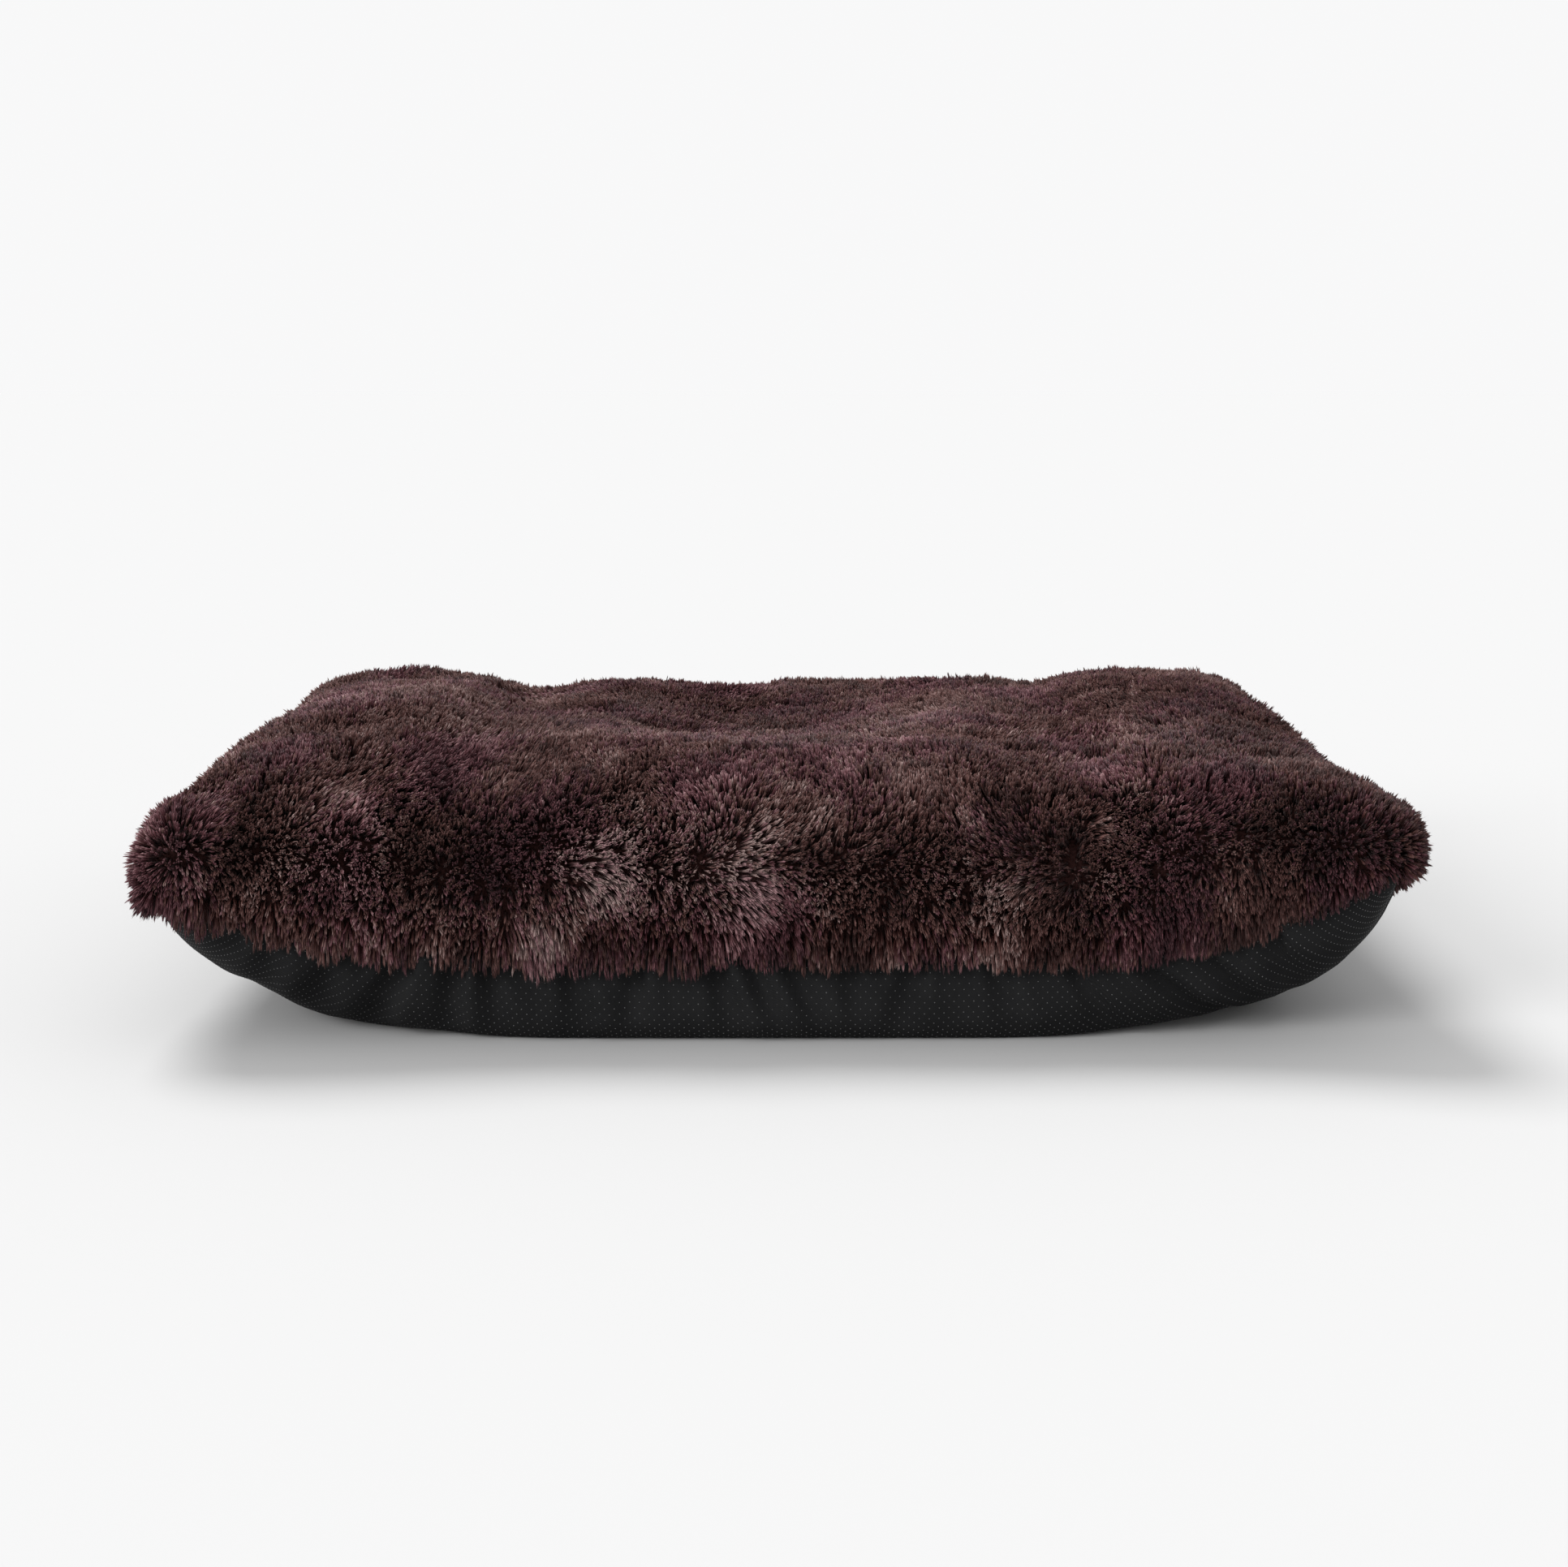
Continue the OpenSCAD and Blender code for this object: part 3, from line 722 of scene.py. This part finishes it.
def crease_base(skin):
    """The base cloth with folds drawn down from the seam and a soft all-over unevenness."""
    x, y, z = skin[..., 0], skin[..., 1], skin[..., 2]
    out = -normals(skin)
    run_x = np.cumsum(np.linalg.norm(np.diff(skin, axis=0, prepend=skin[:1]), axis=2), 0)
    run_y = np.cumsum(np.linalg.norm(np.diff(skin, axis=1, prepend=skin[:, :1]), axis=2), 1)
    sides = [(x, run_y, FRONT_CREASES), (x, run_y[:, -1:] - run_y, random_creases(61, 520)),
             (y, run_x, random_creases(62, 360)), (y, run_x[-1:] - run_x, random_creases(63, 360))]
    nearest = np.min([down for _, down, _ in sides], 0)
    relief = 0.6 * MM * waves(skin.reshape(-1, 3), 0.09, 64)[0].reshape(nearest.shape)
    for along, down, creases in sides:
        relief += crease_relief(along, down, creases) * smooth(1 - (down - nearest) / 0.03)
    relief *= smooth(nearest / (4 * MM))
    relief = np.where(relief < 0, FOLD_ROOM * np.tanh(relief / FOLD_ROOM), relief)
    # The cloth lies smooth by the zip, and flat where it meets the floor
    by_zip = (y > 0.3) * (1 - smooth((np.abs(x) - zip_high[0] - 0.02) / 0.03))
    relief *= 1 - by_zip * smooth((z - 0.055) / 0.02)
    relief *= smooth((z - 1 * MM) / (22 * MM))
    skin = skin + relief[..., None] * out
    skin[..., 2] = np.maximum(skin[..., 2], 0.5 * MM)
    return skin


def plump(points):
    """The underside of the bed as the filling shapes it, by BULGE and LIFT."""
    x, y, z = points[..., 0], points[..., 1], points[..., 2]
    middle = 1 - smooth((np.abs(x) - 0.25) / 0.17)
    foot = (1 - smooth(z / 0.072)) * smooth((np.abs(y) - 0.25) / 0.10)
    lift = sum(share * np.exp(-((x - at_x) / wide) ** 2 - ((y - at_y) / deep) ** 2)
               for at_x, at_y, wide, deep, share in LIFTED)
    moved = points.copy()
    moved[..., 1] += np.sign(y) * BULGE * middle * foot
    moved[..., 2] += LIFT * lift * smooth(1.1 - z / 0.12)
    return moved


base_skin = crease_base(plump(even_grid(base, BASE_STEP)))


def make_base():
    """The non-slip cloth of the base."""
    inside = base_skin + normals(base_skin) * 1.2 * MM
    piece = closed_shell("base_cloth", inside, base_skin, BASE_CLOTH)
    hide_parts("base_panel")


def make_grip_dots():
    """Low rubber dots, printed on the base cloth in staggered rows."""
    n, m = base_skin.shape[:2]
    out = -normals(base_skin)
    wide, deep = (np.linalg.norm(np.diff(base_skin, axis=k), axis=2).mean() * (cells - 1)
                  for k, cells in ((0, n), (1, m)))
    rows = round(deep / DOT_PITCH)
    per_row = round(wide / (2 * DOT_PITCH))
    j, i = (a.ravel() for a in np.meshgrid(np.arange(rows), np.arange(per_row), indexing="ij"))
    s = (i + 0.3 + 0.5 * (j % 2)) / per_row * (n - 1)
    t = (j + 0.5) / rows * (m - 1)
    wide_cell, deep_cell = (
        np.linalg.norm(bilinear(np.gradient(base_skin, axis=k), s, t), axis=1) * (cells - 1) / dots
        for k, cells, dots in ((0, n, per_row), (1, m, rows)))
    # Every second dot or row is left out where the lattice is gathered
    clear = (s > 1) & (s < n - 2) & (t > 1) & (t < m - 2)
    clear &= (deep_cell > 0.62 * DOT_PITCH) | (j % 2 == 0)
    clear &= (wide_cell > 1.24 * DOT_PITCH) | ((i + j // 2) % 2 == 0)
    s, t = s[clear], t[clear]
    centre, up = bilinear(base_skin, s, t), unit(bilinear(out, s, t))
    side = unit(np.cross(up, [0.02, 1.0, 0.03]))
    other = np.cross(up, side)
    angle = np.arange(DOT_SIDES) * 2 * math.pi / DOT_SIDES
    ring = spokes(side[:, None], other[:, None], angle)
    ring = (centre - 0.1 * MM * up)[:, None] + DOT_RADIUS * ring
    points = np.concatenate([ring, (centre + DOT_HEIGHT * up)[:, None]], 1)
    points[..., 2] = np.maximum(points[..., 2], 0.05 * MM)
    corner = np.arange(DOT_SIDES)
    fan = np.stack([corner, (corner + 1) % DOT_SIDES, np.full(DOT_SIDES, DOT_SIDES)], 1)
    for number, tile in enumerate(np.array_split(np.arange(len(points)), DOT_TILES), 1):
        first = np.arange(len(tile))[:, None, None] * (DOT_SIDES + 1)
        faces = [(first + fan).reshape(-1, 3), (first + corner[::-1][None]).reshape(-1, DOT_SIDES)]
        piece = make_piece(f"grip_dots_{number}", points[tile].reshape(-1, 3), faces, GRIP)
        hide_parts("base_panel")


make_base()
make_grip_dots()

# ---- Seam ----

SEAM_BAND = 11 * MM
# The facings run this far along X from the bed's middle, and this far above and below the zip's
FACING_X = (0.350, 0.422)
FACING_HALF = 0.017
# Stitches: pitch, length and thickness of the thread
SEAM_STITCH = (4.6 * MM, 3.0 * MM, 0.45 * MM)
TAPE_STITCH = (3.2 * MM, 2.2 * MM, 0.3 * MM)


def make_stitches(name, line, stitch, material, node):
    """Short round-ended threads along a line of points, as one piece."""
    pitch, length, width = stitch
    gaps = np.linalg.norm(np.diff(line, axis=0), axis=1)
    run = np.concatenate([[0], np.cumsum(gaps)])
    starts = np.arange(pitch / 2, run[-1] - length, pitch)
    whole = gaps[np.clip(np.searchsorted(run, starts) - 1, 0, len(gaps) - 1)] < 20 * MM
    starts = starts[whole]
    ends = np.array([0.0, 0.12, 0.88, 1.0])
    thick = np.array([0.25, 1.0, 1.0, 0.25]) * width / 2
    along = starts[:, None] + ends * length
    path = np.stack([np.interp(along, run, line[:, k]) for k in range(3)], -1)
    ahead = unit(path[:, -1] - path[:, 0])
    side = unit(np.cross(ahead, [0.05, 0.1, 1.0]))
    other = np.cross(side, ahead)
    ring = spokes(side[:, None], other[:, None], np.arange(4) * math.pi / 2)
    points = path[:, :, None] + thick[None, :, None, None] * ring[:, None]
    quads, caps = tube_faces(4, 4)
    first = np.arange(len(starts))[:, None, None] * 16
    faces = [np.concatenate([(first + quads).reshape(-1, 4), (first + caps).reshape(-1, 4)])]
    piece = make_piece(name, points.reshape(-1, 3), faces, material)
    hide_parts(node)


def make_seam_allowance():
    """The cloths' raw edges, turned in along the seam. At the back they stop short of the zip."""
    out = -normals(base_skin)
    step = np.linalg.norm(base_skin[5, 1] - base_skin[5, 0])
    rows = max(3, round(SEAM_BAND / step))
    uneven = waves(base_skin.reshape(-1, 3), 0.03, 71)[0].reshape(out.shape[:2])
    inner = base_skin - out * (2.6 * MM + 0.5 * MM * uneven)[..., None]
    x = base_skin[:, 0, 0]
    left, right = (int(np.argmin(np.abs(x - side * (zip_high[0] + 22 * MM)))) for side in (-1, 1))
    strips = {"front": np.s_[2:-2, 1:rows], "left": np.s_[1:rows, rows:-rows],
              "right": np.s_[-rows:-1, rows:-rows], "back_left": np.s_[2:left, -rows:-1],
              "back_right": np.s_[right:-2, -rows:-1]}
    for name, part in strips.items():
        below = (inner - out * 1.6 * MM)[part]
        piece = closed_shell("seam_allowance_" + name, inner[part], below, BASE_CLOTH)
        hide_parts("cover_seam_allowance")


def make_facings():
    """Cloth that closes the slot in the cover behind the two ends of the zip."""
    for name, side in (("left", -1), ("right", 1)):
        x, z = np.meshgrid(side * np.linspace(*FACING_X, 13),
                           slot_mid + np.linspace(-FACING_HALF, FACING_HALF, 7), indexing="ij")
        y = np.full(x.shape, zip_low[1] - 0.3 * MM) + 0.5 * MM * np.sin(z * 400)
        face = np.stack([x, y, z], -1)
        behind = face - np.array([0, 0.8 * MM, 0])
        pair = (face, behind) if side < 0 else (behind, face)
        piece = closed_shell("seam_facing_" + name, *pair, BASE_CLOTH)
        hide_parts("cover_seam_allowance")


def make_seam_stitches():
    """The row of stitches below the seam, which the zip interrupts."""
    out = -normals(base_skin)
    line = rim(base_skin[2:-2, 2:-2] + out[2:-2, 2:-2] * 0.15 * MM)
    keep = ~((line[:, 1] > 0) & (np.abs(line[:, 0]) < zip_high[0] + 30 * MM))
    make_stitches("seam_stitches", line[keep], SEAM_STITCH, BASE_CLOTH, "base_panel")


make_seam_allowance()
make_facings()
make_seam_stitches()

# ---- Zip ----

COIL_PITCH = 1.5 * MM
WIRE = 0.34 * MM
# Rows of stitches on a tape, from the edge that the two tapes share
TAPE_ROWS = (5.6 * MM, 9.4 * MM)


def make_tape(side):
    """Woven tape with a thicker selvedge and two rows of stitching."""
    low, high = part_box("zip_tape_" + side)
    n, m = 181, 15
    x = np.linspace(low[0], high[0], n)[:, None]
    z = np.linspace(low[2], high[2], m)[None]
    edge = np.minimum(z - low[2], high[2] - z)
    thick = 0.5 * (high[1] - low[1]) * (0.8 + 0.2 * np.exp(-((edge / (1 * MM)) ** 2)))
    middle = (low[1] + high[1]) / 2
    outer = np.stack(np.broadcast_arrays(x, middle + thick, z), -1)
    inner = np.stack(np.broadcast_arrays(x, middle - thick, z), -1)
    piece = closed_shell("zip_tape_cloth_" + side, outer[:, ::-1], inner[:, ::-1], TAPE)
    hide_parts("zip_tape_" + side)
    far = high[2] if side == "upper" else low[2]
    toward = -1 if side == "upper" else 1
    for row, off in enumerate(TAPE_ROWS, 1):
        level = far + toward * (zip_high[2] - zip_low[2] - off)
        line = np.stack([x[:, 0], np.full(n, high[1] + 0.05 * MM), np.full(n, level)], 1)
        make_stitches(f"zip_tape_stitches_{side}_{row}", line, TAPE_STITCH, TAPE,
                      "zip_tape_" + side)


def make_coil(side):
    """A helical monofilament round its cord."""
    low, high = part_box("zip_coil_" + side)
    y, z = (low[1] + high[1]) / 2, (low[2] + high[2]) / 2
    turns = (high[0] - low[0] - 2 * WIRE) / COIL_PITCH
    steps = 9
    t = np.arange(int(turns * steps)) / steps
    hand = 1 if side == "upper" else -1
    reach = (high[2] - low[2]) / 2 - WIRE
    path = np.stack([low[0] + WIRE + t * COIL_PITCH, y + reach * np.cos(2 * math.pi * t),
                     z + hand * reach * np.sin(2 * math.pi * t)], 1)
    core = np.stack([np.linspace(low[0], high[0], 60), np.full(60, y), np.full(60, z)], 1)
    points, faces = [], []
    for line, radius, sides in ((path, WIRE, 4), (core, reach - WIRE * 0.6, 6)):
        faces += tube_faces(len(line), sides, sum(map(len, points)))
        points.append(tube_points(line, radius, sides).reshape(-1, 3))
    *fours, cord_caps = faces
    piece = make_piece("zip_coil_row_" + side, np.concatenate(points),
                       [np.concatenate(fours), cord_caps], COIL)
    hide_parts("zip_coil_" + side)


def finish_metal(node):
    """The metal parts keep their CAD mesh, with cast metal and softened edges."""
    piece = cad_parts[node]
    piece.data.materials.clear()
    piece.data.materials.append(METAL)
    weld = piece.modifiers.new("weld", "WELD")
    weld.merge_threshold = 0.01 * MM
    bevel = piece.modifiers.new("bevel", "BEVEL")
    bevel.width = 0.22 * MM
    bevel.segments = 2
    bevel.limit_method = "ANGLE"
    bevel.angle_limit = math.radians(50)


for side in ("upper", "lower"):
    make_tape(side)
    make_coil(side)
for node in ("zip_top_stops", "zip_bottom_stop", "zip_slider", "zip_pull_tab"):
    finish_metal(node)


def make_label():
    """A blank satin label, folded double, that curls a little away from the cloth."""
    low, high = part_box("care_label")
    n, m = 15, 25
    u = np.linspace(0, 1, n)[:, None]
    v = np.linspace(0, 1, m)[None]
    x = low[0] + u * (high[0] - low[0])
    z = low[2] + v * (high[2] - low[2])
    curl = 3.2 * MM * (1 - v) ** 2 + 0.8 * MM * np.sin(math.pi * u) * (1 - v)
    gap = 0.15 * MM + 1.1 * MM * np.sin(math.pi * (1 - v)) * (0.4 + 0.6 * u)
    front = np.stack(np.broadcast_arrays(x, high[1] + curl + gap / 2, z), -1)
    back = np.stack(np.broadcast_arrays(x, low[1] + curl - gap / 2, z), -1)
    piece = closed_shell("care_label_satin", front[:, ::-1], back[:, ::-1], LABEL)
    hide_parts("care_label")


make_label()

# ---- Inner cushion ----

INNER_STEP = 11 * MM
FILLS = ["fill_left", "fill_centre", "fill_right"]
# Dimples in the liner and lumps in the filling: wavelength and depth of each field
DIMPLES = ((0.12, 1.0 * MM), (0.045, 0.8 * MM))
LUMPS = ((0.07, 2.5 * MM), (0.028, 1.6 * MM))


def sunk(skin, up, depths, seed):
    """The skin with soft dimples, only ever inwards."""
    flat = skin.reshape(-1, 3)
    relief = np.zeros(len(flat))
    for k, (wavelength, depth) in enumerate(depths):
        relief += depth * (0.5 + 0.5 * np.clip(waves(flat, wavelength, seed + k)[0] / 2.2, -1, 1))
    return skin - up * relief.reshape(skin.shape[:2])[..., None]


def make_liner():
    """The two cloths that hold the filling."""
    for node, up in (("liner_top", True), ("liner_bottom", False)):
        skin = even_grid(sheet_grid(node, up), INNER_STEP)
        skin = skin if up else plump(skin)
        out = normals(skin) * (1 if up else -1)
        outer = sunk(skin, out, DIMPLES, 80)
        pair = (outer, outer - out * 0.7 * MM)
        piece = closed_shell(node + "_cloth", *(pair if up else pair[::-1]), LINER)
        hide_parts(node)


def make_baffle(node):
    """A thin wall between two chambers, which ripples between its seams."""
    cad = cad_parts[node].data
    places = np.unique(np.round([v.co[:] for v in cad.vertices], 5), axis=0)
    rows = [places[places[:, 1] == y] for y in np.unique(places[:, 1])]
    ends = np.array([[[r[:, 0].min(), r[:, 0].max()], [r[0, 1]] * 2, [r[:, 2].min(), r[:, 2].max()]]
                     for r in rows])
    v = np.linspace(0, 1, 15)
    y = np.repeat(ends[:, 1, :1], 15, 1)
    z = ends[:, 2, :1] * (1 - v) + ends[:, 2, 1:] * v
    flat = np.stack([np.zeros(y.shape), y, z], -1)
    uneven = waves(flat.reshape(-1, 3), 0.05, 90)[0].reshape(y.shape)
    ripple = 0.3 * MM * uneven * np.sin(math.pi * v)
    faces = [np.stack([ends[:, 0, k][:, None] + ripple, y, z], -1) for k in (0, 1)]
    piece = closed_shell(node + "_cloth", faces[1], faces[0], LINER)
    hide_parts(node)


def make_fill(node):
    """Hollow-fibre filling: one soft, lumpy clump for each chamber."""
    upper, lower = sheet_grid(node, True), sheet_grid(node, False)
    across, along = even_places(upper, 0, INNER_STEP), even_places(upper, 1, INNER_STEP)
    upper, lower = refine(upper, across, along), plump(refine(lower, across, along))
    upper = sunk(upper, normals(upper), LUMPS, 95)
    lower = sunk(lower, -normals(lower), LUMPS, 97)
    piece = closed_shell(node + "_fibre", upper, lower, FIBRE)
    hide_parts(node)


make_liner()
for node in ("baffle_left", "baffle_right"):
    make_baffle(node)
for node in FILLS:
    make_fill(node)

# ---- Stage ----

CAMERA_PLACE = (0.0013, -2.37, 0.62)
CAMERA_DOWN = math.radians(10.8)
CAMERA_TURN = math.radians(0.13)
CAMERA_FIELD = 2 * math.atan(0.352812)
FLOOR_GREY = (0.495, 0.495, 0.495, 1)
FLOOR_HALF = 40.0
SKY = (0.94, 0.94, 0.943, 1)
# Suns: name, the way towards each, its strength and its spread in degrees
SUNS = [("overhead", (-0.45, 0.55, 1), 2.7, 28), ("front", (-1, -0.8, 0.6), 1.9, 28)]


def make_stage():
    """Camera, floor, sky and suns."""
    scene = bpy.context.scene
    scene.view_settings.view_transform = "Standard"
    camera = bpy.data.objects.new("camera", bpy.data.cameras.new("camera"))
    camera.data.angle = CAMERA_FIELD
    camera.location = CAMERA_PLACE
    camera.rotation_euler = (math.pi / 2 - CAMERA_DOWN, 0, -CAMERA_TURN)
    scene.collection.objects.link(camera)
    scene.camera = camera
    material, _, _ = new_material("floor", 0.9, Base_Color=FLOOR_GREY, Specular_IOR_Level=0.0)
    corners = [(x * FLOOR_HALF, y * FLOOR_HALF, 0) for x, y in ((-1, -1), (1, -1), (1, 1), (-1, 1))]
    mesh = bpy.data.meshes.new("floor")
    mesh.from_pydata(corners, [], [[0, 1, 2, 3]])
    mesh.materials.append(material)
    floor = bpy.data.objects.new("floor", mesh)
    scene.collection.objects.link(floor)
    world = bpy.data.worlds.new("world")
    scene.world = world
    world.use_nodes = True
    background = world.node_tree.nodes["Background"]
    background.inputs["Color"].default_value = SKY
    background.inputs["Strength"].default_value = 1.0
    for name, towards, energy, spread in SUNS:
        sun = bpy.data.objects.new(name, bpy.data.lights.new(name, "SUN"))
        sun.data.energy = energy
        sun.data.angle = math.radians(spread)
        sun.rotation_euler = Vector(towards).to_track_quat("Z", "Y").to_euler()
        scene.collection.objects.link(sun)


make_stage()
